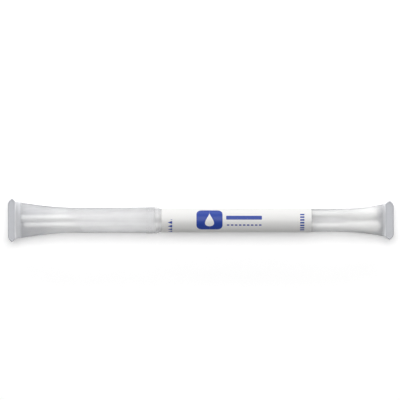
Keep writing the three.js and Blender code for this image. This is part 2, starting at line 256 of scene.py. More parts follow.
class StageSettings(PropertyGroup):
    """The floor, the lights and the camera."""

    view_width: length("View width", 170.3, "Width seen at the tube's height")
    view_x: length("View centre X", -0.38, "Camera's place along X", least=-1)
    view_y: length("View centre Y", 8.64, "Camera's place along Y", least=-1)
    camera_height: length("Camera height", 1200, "Camera above the tube's axis")
    lamp_distance: length("Lamp distance", 900, "From each lamp to the tube")
    lamp_length: length("Lamp length", 1000, "Both lamps' size along the tube")
    top_watts: number("Top lamp", 7.5, "Power of the lamp above, in watts")
    top_tilt: angle("Top lamp's tilt", 18, "Its lean off the vertical, towards +Y")
    top_width: length("Top lamp's width", 700, "Its size across the tube")
    back_watts: number("Back lamp", 3.4, "Power of the low lamp behind, in watts")
    back_tilt: angle("Back lamp's tilt", 75, "Its lean off the vertical, towards +Y")
    back_width: length("Back lamp's width", 300, "Its size across the tube")
    ambient: number("Ambient", 0.11, "Light from all round")
    floor: share("Floor", 0.94, "The floor's paleness in the lamps' light")
    floor_lift: number("Floor lift", 0.25, "Brightness added to the floor as seen and mirrored")


GROUPS = {
    "tube": TubeSizes,
    "body_end": BodyEnd,
    "cap_end": CapEnd,
    "wraps": WrapSizes,
    "swabs": SwabSizes,
    "finishes": Finishes,
    "stage": StageSettings,
}


class SwabTubeSettings(PropertyGroup):
    """All the settings of the specimen swab tube."""

    __annotations__ = {
        field: PointerProperty(type=group) for field, group in GROUPS.items()
    }


# ---- fineness of meshes

AROUND = 192
SEAL_STEPS = 14
FLARE_STEPS = 54
FLARE_CROWDING = 1.35  # power that crowds the flare's rings towards the seal
STRAIGHT_STEP = 2.2 * MM
LIP_STEPS = 6
HALVINGS = 30
MERGED_UNDER = 1e-8


# ---- working helpers


def stacked(*coordinates):
    """Points, or pairs, from arrays of their coordinates."""
    return np.stack(np.broadcast_arrays(*coordinates), -1)


def full_turn(steps):
    """A row of angles round the circle."""
    return np.linspace(0, TAU, steps, endpoint=False)[None, :]


def unit(vectors, least=0):
    """Vectors made one long. The least length keeps a vector of nought from dividing by it."""
    return vectors / (np.linalg.norm(vectors, axis=-1, keepdims=True) + least)


def smooth(low, high, value):
    """Smooth step: with t = (value - low) / (high - low) held to 0..1, 3 t^2 - 2 t^3."""
    t = np.clip((value - low) / (high - low), 0, 1)
    return t * t * (3 - 2 * t)


def seek(low, high, is_low):
    """Halve the range between two arrays again and again, towards where is_low turns false."""
    for _ in range(HALVINGS):
        middle = (low + high) / 2
        under = is_low(middle)
        low, high = np.where(under, middle, low), np.where(under, high, middle)
    return low


def rounded_corner(before, corner, after, cut_back, steps):
    """The quadratic curve (1-t)^2 a + 2 t (1-t) b + t^2 c, from a to c round the corner b, where
    a and c lie a cut-back length from the corner along its two sides."""
    before, corner, after = map(np.array, (before, corner, after))
    a = corner + unit(before - corner) * cut_back
    c = corner + unit(after - corner) * cut_back
    t = np.linspace(0, 1, steps)[:, None]
    return (1 - t) ** 2 * a + 2 * t * (1 - t) * corner + t**2 * c


def distance_to_chain(chain, x, y):
    """Distance of points from a chain of straight lines: on each line the nearest point is the
    projection held to the line's ends, and the least distance counts."""
    start, along = chain[:-1], np.diff(chain, axis=0)
    offset = stacked(x, y)[..., None, :] - start
    t = np.clip((offset * along).sum(-1) / (along**2).sum(-1), 0, 1)
    return np.linalg.norm(offset - t[..., None] * along, axis=-1).min(-1)


def grid_faces(rows, columns, wrap_rows):
    """Corner numbers of the four-sided faces of a grid whose rows are closed rings. With
    wrap_rows the last row joins the first."""
    numbers = np.arange(rows * columns).reshape(rows, columns)
    if wrap_rows:
        numbers = np.vstack([numbers, numbers[:1]])
    turned = np.roll(numbers, -1, axis=1)
    return stacked(numbers[:-1], turned[:-1], turned[1:], numbers[1:]).reshape(-1, 4)


def round_axis(x, radius, turn):
    """Points round the tube's axis, at an angle from the top towards -Y."""
    return stacked(x, -radius * np.sin(turn), AXIS_HEIGHT + radius * np.cos(turn))


def enclosed_volume(points, faces):
    """Six times the volume inside a closed mesh: the sum over triangles of a . (b x c)."""
    corners = points[np.vstack([faces[:, [0, 1, 2]], faces[:, [0, 2, 3]]])]
    return np.einsum("ij,ij->", corners[:, 0], np.cross(corners[:, 1], corners[:, 2]))


def mesh_from(name, points, faces, uv=None, layers=None):
    """A smooth mesh from points and four-sided faces, turned outwards and with its doubles
    merged. The pattern coordinates and the named layers of values, if any, go with the
    points."""
    points = points.reshape(-1, 3)
    if enclosed_volume(points, faces) < 0:
        faces = faces[:, ::-1]
    mesh = bpy.data.meshes.new(name)
    mesh.from_pydata(points, [], faces)
    if uv is not None:
        layer = mesh.uv_layers.new(name="pattern")
        corners = uv.reshape(-1, 2)[faces.ravel()]
        layer.data.foreach_set("uv", corners.astype(np.float32).ravel())
    for layer_name, values in (layers or {}).items():
        layer = mesh.attributes.new(layer_name, "FLOAT", "POINT")
        layer.data.foreach_set("value", values.astype(np.float32).ravel())
    work = bmesh.new()
    work.from_mesh(mesh)
    bmesh.ops.remove_doubles(work, verts=work.verts, dist=MERGED_UNDER)
    bmesh.ops.dissolve_degenerate(work, edges=work.edges, dist=MERGED_UNDER)
    work.to_mesh(mesh)
    work.free()
    mesh.polygons.foreach_set("use_smooth", np.ones(len(mesh.polygons), bool))
    mesh.validate()
    mesh.update()
    return mesh


def grid_mesh(name, points, uv=None, layers=None, wrap_rows=False):
    """The mesh of a grid of points whose rows are closed rings."""
    return mesh_from(name, points, grid_faces(*points.shape[:2], wrap_rows), uv, layers)


def add_piece(mesh, material, slot, body, *nodes):
    """Put a mesh in the scene as a piece that rides on a body and stands for CAD nodes."""
    piece = bpy.data.objects.new(mesh.name, mesh)
    bpy.context.scene.collection.objects.link(piece)
    mesh.materials.append(material)
    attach(piece, body)
    if nodes:
        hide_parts(*nodes)


# ---- the pressed tubes


@dataclass
class PressedTube:
    """A round tube whose end is pressed flat. Outward is +1 where the seal lies towards +X.
    Distances called inward run from the seal's inner edge towards the tube's mouth."""

    radius: float
    wall: float
    seal_edge: float
    outward: int
    mouth: float
    covered_from: float
    end: PropertyGroup
    sizes: TubeSizes
    cut: float = 0
    bell: float = 0
    bell_length: float = 1

    # Fixed proportions of the pressing
    buried = 0.23 * MM  # half-height that the tube would have inside the seal
    overlap = 0.3 * MM  # length of the tube inside the seal
    lens = 0.35  # how far the section goes from an ellipse to a lens at the seal
    pleat = 0.05 * MM  # height of the soft pleats in the flare
    cut_fade = 12 * MM  # length over which rings turn from the cut's slant to square
    hollow = 0.02 * MM  # least half-height of the inside
    press_lines = 0.012 * MM  # height of the fine lines pressed into the web
    press_pitch = 0.45 * MM
    sinking = 1 * MM  # length over which the tube sinks into the seal
    plate_fade = (0.5 * MM, -0.2 * MM)  # where the seal's plate begins, and where it is full
    hollow_end = 0.15 * MM  # how far the hollow runs into the seal
    hollow_taper = 0.985  # width of the hollow's last ring against the one before it
    weld_fade = (0.2 * MM, -0.5 * MM)  # where the weld begins, and where it is full
    unsticking = 1.2 * MM  # length over which the walls come apart past the seal
    # Painted highlight along the seal's inner edge: its middle and half-width
    line_place, line_reach = 0.1 * MM, 0.35 * MM  # pale line at the seal: middle, half-width
    cover_blur = 0.2 * MM  # half the blur of the cap's cover at its mouth
    # The painted shade beside the seal is at full strength over this share of its run
    full_shade = 0.35  # share of the greyed run that is grey all through

    @property
    def flare_half(self):
        """Half the width of the tube pressed flat, pi / 4 (2 r - w) + w / 2, less the slack."""
        flat = math.pi / 4 * (2 * self.radius - self.wall) + self.wall / 2
        return flat - self.end.flare_slack

    @property
    def run(self):
        """Length from the seal's inner edge to the mouth."""
        return abs(self.mouth - self.seal_edge)

    def flatness(self, inward):
        """One at the seal and nought where the flare ends, by (1 - inward / length)^curve."""
        return np.clip(1 - inward / self.end.flare_length, 0, 1) ** self.end.flare_curve

    def bell_at(self, inward):
        """The mouth's gain in radius, bell times (1 - distance from the mouth / length)^2."""
        return self.bell * np.clip(1 - np.abs(self.run - inward) / self.bell_length, 0, 1) ** 2

    def half_width(self, inward):
        """Half-width of the outside: the radius plus the flare's and the bell's gain."""
        gain = (self.flare_half - self.radius) * self.flatness(inward)
        return self.radius + gain + self.bell_at(inward)

    def free_height(self, width):
        """Outside half-height of the tube pressed to a half-width, so that the middle of its
        wall is as long round the section as it was round the circle. The perimeter of an
        ellipse with half-axes a and b is pi (a + b) (1 + 3 h / (10 + sqrt(4 - 3 h))), with
        h = ((a - b) / (a + b))^2."""
        a = width - self.wall / 2
        target = math.pi * (2 * self.radius - self.wall)

        def is_short(b):
            h = ((a - b) / (a + b)) ** 2
            return math.pi * (a + b) * (1 + 3 * h / (10 + np.sqrt(4 - 3 * h))) < target

        return seek(np.zeros_like(a), a, is_short) + self.wall / 2

    def half_height(self, inward):
        """Half-height of the outside: the free height, brought down onto the seal over the
        ramp by 1 - (1 - t)^2, plus the bell's gain."""
        free = self.free_height(self.half_width(inward) - self.bell_at(inward))
        t = np.clip((inward + self.overlap) / (self.sizes.ramp + self.overlap), 0, 1)
        return self.buried + (free - self.buried) * (1 - (1 - t) ** 2) + self.bell_at(inward)

    def lens_power(self, inward):
        """Power of the sine in the section: 1 for an ellipse, and more for a lens."""
        return 1 + self.lens * np.clip(1 - inward / self.end.flare_length, 0, 1) ** 2

    def seal_outline(self):
        """Pairs of distance past the seal's inner edge and half-width, from the root past the
        rounded ear and the rounded outer corner to the straight end."""
        sizes, depth = self.sizes, self.end.seal_depth
        root = (0, self.flare_half)
        ear = (depth - self.end.ear_setback, self.flare_half + self.end.ear_reach)
        corner = (depth, ear[1] - self.end.end_inset)
        at_ear = rounded_corner(root, ear, corner, sizes.ear_round, SEAL_STEPS)
        at_end = rounded_corner(ear, corner, (depth, 0), sizes.corner_round, 2 * SEAL_STEPS)
        side = np.linspace(root, at_ear[0], SEAL_STEPS, endpoint=False)
        edge = np.linspace(at_ear[-1], at_end[0], SEAL_STEPS, endpoint=False)[1:]
        return np.vstack([side, at_ear, edge, at_end])

    def seal_height(self, past, y):
        """Half-thickness of the seal: a rim with a round edge, sqrt(1 - (1 - d / r)^2) at the
        distance d inside the outline, round a thinner web with fine press lines."""
        rim, web, width = self.sizes.rim / 2, self.sizes.web / 2, self.sizes.rim_width
        chain = np.vstack([self.seal_outline(), [[self.end.seal_depth, 0]]])
        d = distance_to_chain(chain, past, np.abs(y))
        edge = np.sqrt(1 - (1 - np.clip(d / rim, 0, 1)) ** 2)
        # The rim gives way to the web 1 to 1.6 widths in, and 0.3 sooner on the tube's side
        inside = smooth(width, 1.6 * width, np.minimum(d, past + 0.3 * width))
        lines = self.press_lines * inside * np.cos(TAU * past / self.press_pitch)
        return rim * edge - (rim - web) * inside + lines

    def skin(self, inward, width, height, power, angle):
        """One skin of the wall: y = width cos(a), and z = height |sin(a)|^power with the sign
        of the sine. The flare adds soft pleats, 5 and 9 waves round the section, which fade
        out towards the sides, the seal and the flare's end."""
        fold = np.clip(self.flatness(inward) * 1.6, 0, 1) * smooth(0, 2 * MM, inward)
        waves = np.cos(5 * angle + 0.7) + 0.7 * np.cos(9 * angle + 2.1 * np.sign(np.sin(angle)))
        pleats = self.pleat * fold * waves * np.abs(np.sin(angle)) ** 2
        rise = (height + pleats * (height > 0)) * np.abs(np.sin(angle)) ** power
        return width * np.cos(angle), rise

    def measures(self, inward, is_outer):
        """How the plastic changes along the tube, each from nought to one: welded in the seal,
        stuck wall to wall past it, covered by the cap, the painted highlight along the seal's
        inner edge, the painted shade beside the seal, which falls away along the flare, and the
        outside."""
        stuck, greyed = self.end.stuck_run, self.end.greyed_run
        return {
            "welded": smooth(*self.weld_fade, inward),
            "stuck": smooth(stuck, stuck - self.unsticking, inward),
            "covered": smooth(-self.cover_blur, self.cover_blur, inward - self.covered_from),
            "rim_highlight": smooth(self.line_reach, 0, abs(inward - self.line_place)),
            "greyed": smooth(greyed, self.full_shade * greyed, inward),
            "outer": is_outer * np.ones_like(inward),
        }

    def surface(self):
        """Rings of points from the seal's end over the outside, round the lip and back along
        the inside, with their measures. The first and last rings are pressed to a line, which
        closes them."""
        angle = full_turn(AROUND)
        outline = self.seal_outline()[::-1]
        length = self.end.flare_length
        lead = self.run - self.wall / 2
        flare = length * np.linspace(0, 1, FLARE_STEPS) ** FLARE_CROWDING
        straight = np.linspace(length, lead, round((lead - length) / STRAIGHT_STEP))
        outer = np.concatenate([flare[1:], straight[1:]])
        inner = np.concatenate([straight[::-2], flare[-2::-2], flare[:1]])[:, None]
        turn = np.linspace(0, math.pi, LIP_STEPS + 2)[1:-1, None]

        # The seal and the outside
        inward = np.concatenate([-outline[:, 0], outer])[:, None]
        width = np.concatenate([outline[:, 1], self.half_width(outer)])[:, None]
        height = self.half_height(inward) * smooth(-self.sinking, 0, inward)
        y, tube = self.skin(inward, width, height, self.lens_power(np.maximum(inward, 0)), angle)
        plate = self.seal_height(-inward, y) * smooth(*self.plate_fade, inward)
        z = (tube**4 + plate**4) ** 0.25

        # The lip, half round
        lip = lead + self.wall / 2 * np.sin(turn)
        depth = self.wall / 2 * (1 - np.cos(turn))
        lip_width, lip_height = self.half_width(lip) - depth, self.half_height(lip) - depth
        lip_y, lip_z = self.skin(lip, lip_width, lip_height, self.lens_power(lip), angle)

        # The inside, which ends a little inside the seal
        in_width = self.half_width(inner) - self.wall
        in_height = np.maximum(self.half_height(inner) - self.wall, self.hollow)
        in_y, in_z = self.skin(inner, in_width, in_height, self.lens_power(inner), angle)

        parts = [
            (inward[:1], y[:1], 0),
            (inward, y, z),
            (lip, lip_y, lip_z),
            (inner, in_y, in_z),
            (-self.hollow_end, self.hollow_taper * in_y[-1:], 0),
        ]
        inward, y, z = np.concatenate([stacked(*part) for part in parts]).transpose(2, 0, 1)
        upward = np.sign(np.round(np.sin(angle), 9))  # rounded, so it is nought at the sides
        z = AXIS_HEIGHT + z * upward
        slant = smooth(self.cut_fade, 0, self.run - inward)
        x = self.seal_edge - self.outward * inward - y * math.tan(self.cut) * slant
        outside = len(outline) + 1 + len(outer) + LIP_STEPS
        is_outer = np.arange(len(x))[:, None] < outside
        return stacked(x, y, z), self.measures(inward, is_outer)


def body_tube(settings):
    """The tube body, whose seal is at the +X end and whose neck is cut on a slant."""
    sizes, cap_end = settings.tube, settings.cap_end
    seal_edge = BODY_HIGH.x - settings.body_end.seal_depth
    return PressedTube(
        radius=sizes.body_diameter / 2,
        wall=sizes.body_wall,
        seal_edge=seal_edge,
        outward=1,
        mouth=CAP_LOW.x + cap_end.seal_depth + cap_end.flare_length + sizes.neck_setback,
        covered_from=seal_edge - CAP_HIGH.x,
        end=settings.body_end,
        sizes=sizes,
        cut=sizes.neck_cut,
    )


def cap_tube(settings):
    """The cap, whose seal is at the -X end and whose mouth widens a little."""
    sizes = settings.tube
    return PressedTube(
        radius=sizes.body_diameter / 2 + sizes.cap_clearance + sizes.cap_wall,
        wall=sizes.cap_wall,
        seal_edge=CAP_LOW.x + settings.cap_end.seal_depth,
        outward=-1,
        mouth=CAP_HIGH.x,
        covered_from=CAP_HIGH.x - CAP_LOW.x,  # past its own mouth, so nowhere
        end=settings.cap_end,
        sizes=sizes,
        bell=sizes.mouth_bell,
        bell_length=sizes.mouth_bell_length,
    )


def tube_mesh(name, tube):
    """The mesh of a pressed tube."""
    points, measures = tube.surface()
    return grid_mesh(name, points, layers=measures)


# ---- label and film band


def label_mesh(tube, wraps):
    """A strip wound once round the tube and on over its own start. At the angle a from the
    start its underside has the radius r0 + (thickness + gap) * smooth step over the last
    stretch before the lap, and the top side lies one thickness further out."""
    along, turns, climb_turns = 34, 260, 12
    ramp = 0.12  # of a radian, over which the strip climbs onto its start
    gap = 0.01 * MM
    rim = 0.03 * MM  # of each end, kept crisp
    base = tube.radius + wraps.clearance
    thickness = wraps.label_thickness
    turn = np.linspace(0, TAU + wraps.label_lap / base, turns)
    turn = np.sort(np.concatenate([turn, np.linspace(TAU - ramp, TAU, climb_turns)]))[:, None]
    under = base + (thickness + gap) * smooth(TAU - ramp, TAU - 0.2 * ramp, turn)

    # Round the strip's section: along the top side, then back along the underside. A row
    # drawn in to the middle of the thickness closes each long edge.
    x = np.linspace(LABEL_LOW.x, LABEL_HIGH.x, along - 2)
    x = np.sort(np.concatenate([x, [LABEL_LOW.x + rim, LABEL_HIGH.x - rim]]))
    x = np.concatenate([x, x[::-1]])
    radius = under + thickness * (np.arange(2 * along) < along)
    middle = (under + thickness / 2) * np.ones_like(x)
    radius = np.vstack([middle[:1], radius, middle[-1:]])
    from_top = wraps.label_lap_angle + np.vstack([turn[:1], turn, turn[-1:]])

    # The pattern runs in metres: along X, and round from the top towards +Y
    uv = stacked(x, (TAU - from_top) * (base + thickness))
    return grid_mesh("label_strip", round_axis(x, radius, from_top), uv)


def film_mesh(cap, body, wraps):
    """A band turned round the axis: level over the cap's end, then down by a smooth step past
    the mouth, and level on the tube. Wrinkles add ripple * cos^2 waves to both of its sides."""
    steps = 56
    cap_fade, label_fade = 0.8 * MM, 0.5 * MM  # where the wrinkles die out at the band's ends
    high = cap.radius + cap.bell + wraps.clearance
    low = body.radius + wraps.clearance
    x = np.linspace(FILM_LOW.x, FILM_HIGH.x, steps)
    x = np.concatenate([x, x[::-1]])[:, None]
    start = cap.mouth + wraps.film_shoulder
    under = high + (low - high) * smooth(start, start + wraps.film_slope, x)
    is_top = (np.arange(2 * steps) < steps)[:, None]
    around = full_turn(AROUND)
    lean = (x - FILM_LOW.x) * 260  # angle by which the wrinkles lean, 260 radians per metre
    waves = 0.6 * np.cos(11 * around + lean) ** 2 + 0.4 * np.cos(17 * around - 1.7 * lean) ** 2
    fade = smooth(FILM_LOW.x, FILM_LOW.x + cap_fade, x)
    fade = fade * smooth(FILM_HIGH.x, FILM_HIGH.x - label_fade, x)
    below = smooth(-0.8, -0.97, np.cos(around))  # no wrinkles where the band rests
    ripple = wraps.film_ripple * waves * fade * (1 - below)
    radius = under + wraps.film_thickness * is_top + ripple
    uv = stacked(x, low * around)
    return grid_mesh("film_band", round_axis(x, radius, -around), uv, wrap_rows=True)


# ---- swabs


def node_points(node):
    """The corners of a CAD node as an array."""
    vertices = frame["nodes"][node].data.vertices
    points = np.empty(3 * len(vertices), np.float32)
    vertices.foreach_get("co", points)
    return points.reshape(-1, 3).astype(float)


def shaft_axis(node):
    """The two ends of a CAD shaft's axis: the middle of the flat at its lowest and its highest
    X."""
    points = node_points(node)
    reach = 0.1 * MM
    low = points[points[:, 0] < points[:, 0].min() + reach]
    high = points[points[:, 0] > points[:, 0].max() - reach]
    return low.mean(0), high.mean(0)


def frame_along(direction):
    """Two directions square to a direction that runs near +X: one near +Y, one near +Z."""
    across = unit(np.cross([0, 0, 1], direction))
    return across, np.cross(direction, across)


def ring_points(start, along, far, radius, around):
    """Rings of points round a line: start + far along + radius (cos a across + sin a up)."""
    across, up = frame_along(along)
    spoke = np.cos(around)[..., None] * across + np.sin(around)[..., None] * up
    return start + far[..., None] * along + radius[..., None] * spoke


def shaft_mesh(name, start, end, swabs):
    """A round rod from start to end: a slightly dished free end with a rounded edge, then a
    straight side. Rings of nought radius close it."""
    radius, edge = swabs.shaft_diameter / 2, swabs.shaft_chamfer
    around, edge_steps, side_steps, side_start = full_turn(48), 6, 60, 2 * MM
    run = np.linalg.norm(end - start)
    along = unit(end - start)
    turn = np.linspace(0, math.pi / 2, edge_steps)
    side = np.linspace(side_start, run, side_steps)
    dish, dish_radii = [0.06 * MM, 0.05 * MM, 0], [0, 0.35 * radius, 0.6 * radius]
    places = np.concatenate([dish, edge * (1 - np.cos(turn)), side, [run]])[:, None]
    rounded = radius - edge * (1 - np.sin(turn))
    radii = np.concatenate([dish_radii, rounded, np.full(side.size, radius), [0]])[:, None]
    points = ring_points(start, along, places, radii, around)
    return grid_mesh(name, points, stacked(places, radius * around))


def tip_radius(back, swabs):
    """Radius of the tip at a distance back from its round end: a quarter ellipse,
    w sqrt(1 - (1 - back / nose)^2), up to the widest place, then w falling to the neck by a
    quarter cosine."""
    widest, neck = swabs.tip_diameter / 2, swabs.tip_neck / 2
    nose = widest * np.sqrt(np.clip(1 - (1 - back / swabs.tip_nose) ** 2, 0, 1))
    along = np.clip((back - swabs.tip_nose) / (swabs.tip_length - swabs.tip_nose), 0, 1)
    taper = neck + (widest - neck) * np.cos(math.pi / 2 * along)
    return np.where(back < swabs.tip_nose, nose, taper)


def winding(back, around, swabs):
    """Height of the wound fibre's ridges: waves that run round the tip on two opposite
    slants, w1 cos(k1 a + m1 s) + w2 cos(k2 a - m2 s) + slower waves, faded out at both ends."""
    s = back / MM
    waves = (
        0.40 * np.cos(13 * around + 5.1 * s)
        + 0.28 * np.cos(17 * around - 3.3 * s + 1.1)
        + 0.22 * np.cos(5 * around + 1.3 * s + 0.4)
        + 0.20 * np.cos(23 * around + 9.7 * s + 2.0)
    )
    fade = smooth(0, 1.4 * MM, back) * smooth(swabs.tip_length, swabs.tip_length - 1.5 * MM, back)
    return swabs.ridge * waves * fade


def squeeze(points, body, middle, side, swabs):
    """Bring points outside the tube's hollow in to its wall, and hold them on their own side
    of the middle between the two tips. A point is divided by the factor k, from 1 to 4, at
    which (y / k w)^2 + (|z| / k h)^(2 / m) falls to 1."""
    inward = body.seal_edge - points[..., 0]
    width = body.half_width(inward) - body.wall - swabs.tip_clearance
    height = body.half_height(inward) - body.wall - swabs.tip_clearance - body.pleat
    power = 2 / body.lens_power(inward)
    y, z = points[..., 1], points[..., 2] - AXIS_HEIGHT

    def is_outside(k):
        return (y / k / width) ** 2 + (np.abs(z) / k / height) ** power > 1

    k = seek(np.ones_like(y), np.full_like(y, 4), is_outside)
    y, z = y / k, z / k
    nearest = side * middle(points[..., 0]) + swabs.tip_clearance / 2
    y = side * np.maximum(side * y, nearest)
    return stacked(points[..., 0], y, AXIS_HEIGHT + z)


def tip_mesh(name, end, along, bore_end, shape, swabs):
    """The fibre tip: from the end of its bore out along the shaft, over the neck's edge and on
    to the round end, with the winding's ridges on the outside."""
    around, bore_steps, body_steps, nose_steps = full_turn(96), 12, 64, 30
    mouth_edge = 0.02 * MM  # from the bore's last ring to the neck's edge
    bore = swabs.shaft_diameter / 2 + swabs.core_clearance
    nose = swabs.tip_nose * (1 - np.cos(np.linspace(math.pi / 2, 0, nose_steps)))
    outer = np.concatenate([np.linspace(swabs.tip_length, swabs.tip_nose, body_steps)[:-1], nose])
    inner = np.linspace(bore_end, swabs.tip_length - mouth_edge, bore_steps)
    back = np.concatenate([inner[:1], inner, outer])[:, None]
    radii = np.concatenate([[0], np.full(inner.size, bore), tip_radius(outer, swabs)])[:, None]
    is_outer = (np.arange(back.size) > inner.size)[:, None]
    radii = radii + winding(back, around, swabs) * is_outer * (radii > 0)
    points = ring_points(end, along, -back, radii, around)
    points = np.where(is_outer[..., None], shape(points), points)
    return grid_mesh(name, points, stacked(back, 2 * MM * around))


def strand_mesh(name, end, along, shape, swabs, seed):
    """Loose fibres that lie along the winding. Each is a thin rod, tapered to nothing at both
    ends, whose middle line starts at a random place, runs round and along the tip, and
    lifts off by a sine arch."""
    count, steps, sides = swabs.strand_count, 9, 4
    sunk = 0.2 * swabs.strand_diameter
    never_nought = 1e-12
    random = np.random.default_rng(seed)
    place = random.uniform(0.6 * MM, swabs.tip_length - 1.2 * MM, (count, 1))
    begin = random.uniform(0, TAU, (count, 1))
    sweep = random.uniform(0.5, 1.5, (count, 1)) * random.choice([-1, 1], (count, 1))
    advance = random.uniform(0.4, 2.2, (count, 1)) * MM
    lift = random.uniform(0.02, 0.07, (count, 1)) * MM
    t = np.linspace(0, 1, steps)[None, :]
    back = np.clip(place + advance * t, 0.3 * MM, swabs.tip_length - 0.1 * MM)
    turn = begin + sweep * t
    arch = lift * np.sin(math.pi * t)

    def path(extra):
        radii = tip_radius(back, swabs) + winding(back, turn, swabs) + arch + extra
        return shape(ring_points(end, along, -back, radii, turn))

    # The rod's section is a small square, set by the line's lift and its tangent
    line = path(-sunk)
    outwards = unit(path(0.3 * MM) - line, never_nought)
    tangent = unit(np.gradient(line, axis=1), never_nought)
    beside = np.cross(tangent, outwards)
    taper = np.sqrt(np.sin(math.pi * np.clip(t, 0.02, 0.98)))[..., None]
    thick = swabs.strand_diameter / 2 * taper
    corner = np.arange(sides) * TAU / sides
    rings = [line + thick * (math.cos(c) * outwards + math.sin(c) * beside) for c in corner]
    rods = np.stack(rings, 2)  # strand, step, side, xyz
    closing = np.repeat(line[:, [0, -1], None], sides, axis=2)
    rods = np.concatenate([closing[:, :1], rods, closing[:, 1:]], 1)
    faces = grid_faces(steps + 2, sides, False)
    faces = faces + (np.arange(count) * (steps + 2) * sides)[:, None, None]
    return mesh_from(name, rods, faces.reshape(-1, 4))


# ---- materials


class Term:
    """A value in a shader. Sums written with it add Math nodes."""

    def __init__(self, shader, socket):
        self.shader = shader
        self.socket = socket

    def __add__(self, other):
        return self.shader.math("ADD", self, other)

    def __sub__(self, other):
        return self.shader.math("SUBTRACT", self, other)

    def __rsub__(self, other):
        return self.shader.math("SUBTRACT", other, self)

    def __mul__(self, other):
        return self.shader.math("MULTIPLY", self, other)

    def __truediv__(self, other):
        return self.shader.math("DIVIDE", self, other)

    def __pow__(self, other):
        return self.shader.math("POWER", self, other)

    def __abs__(self):
        return self.shader.math("ABSOLUTE", self)


class Shader:
    """The nodes of a new material or world, added one at a time."""

    def __init__(self, owner):
        owner.use_nodes = True
        self.owner = owner
        self.tree = owner.node_tree
        self.tree.nodes.clear()

    def add(self, kind, sockets=None, output=0, **settings):
        """Add a node, set or join its input sockets by name or number, and give the output
        that is asked for."""
        made = self.tree.nodes.new("ShaderNode" + kind)
        for key, value in settings.items():
            setattr(made, key, value)
        for key, value in (sockets or {}).items():
            if isinstance(value, Term):
                self.tree.links.new(value.socket, made.inputs[key])
            else:
                made.inputs[key].default_value = value
        return Term(self, made.outputs[output])

    def math(self, operation, *values, clamp=False):
        """The outcome of a Math node."""
        return self.add("Math", dict(enumerate(values)), operation=operation, use_clamp=clamp)

    def split(self, place):
        """The first two coordinates of a place."""
        return [self.add("SeparateXYZ", {0: place}, axis) for axis in (0, 1)]

    def noise(self, place, scale, detail=2.0, roughness=0.5):
        """Noise at a place, stretched by a scale along each axis, in turns per metre."""
        stretched = self.add("Mapping", {"Vector": place, "Scale": scale})
        sockets = {"Vector": stretched, "Scale": 1.0, "Detail": detail, "Roughness": roughness}
        return self.add("TexNoise", sockets)

    def ramp(self, value, low, high, to_low=0.0, to_high=1.0):
        """A value carried smoothly from one range to another."""
        names = ("Value", "From Min", "From Max", "To Min", "To Max")
        sockets = dict(zip(names, (value, low, high, to_low, to_high)))
        return self.add("MapRange", sockets, interpolation_type="SMOOTHSTEP")

    def blend(self, factor, first, second):
        """The mix of two colours."""
        first, second = (c if isinstance(c, Term) else (*c, 1) for c in (first, second))
        return self.add("Mix", {0: factor, 6: first, 7: second}, 2, data_type="RGBA")

    def bump(self, height, strength, distance):
        """A bump of a real height in metres."""
        return self.add("Bump", {"Height": height, "Strength": strength, "Distance": distance})

    def principled(self, tint, roughness, specular, normal, more=None):
        """A Principled surface."""
        sockets = {
            "Base Color": tint,
            "Roughness": roughness,
            "Specular IOR Level": specular,
            "Normal": normal,
        }
        return self.add("BsdfPrincipled", sockets | (more or {}))

    def finish(self, surface, kind="OutputMaterial"):
        """Join a shader to the output and give the material or world."""
        output = self.tree.nodes.new("ShaderNode" + kind)
        self.tree.links.new(surface.socket, output.inputs["Surface"])
        return self.owner


def scaled(tint, factor):
    """A colour made darker or lighter by a factor."""
    return [min(1, part * factor) for part in tint]


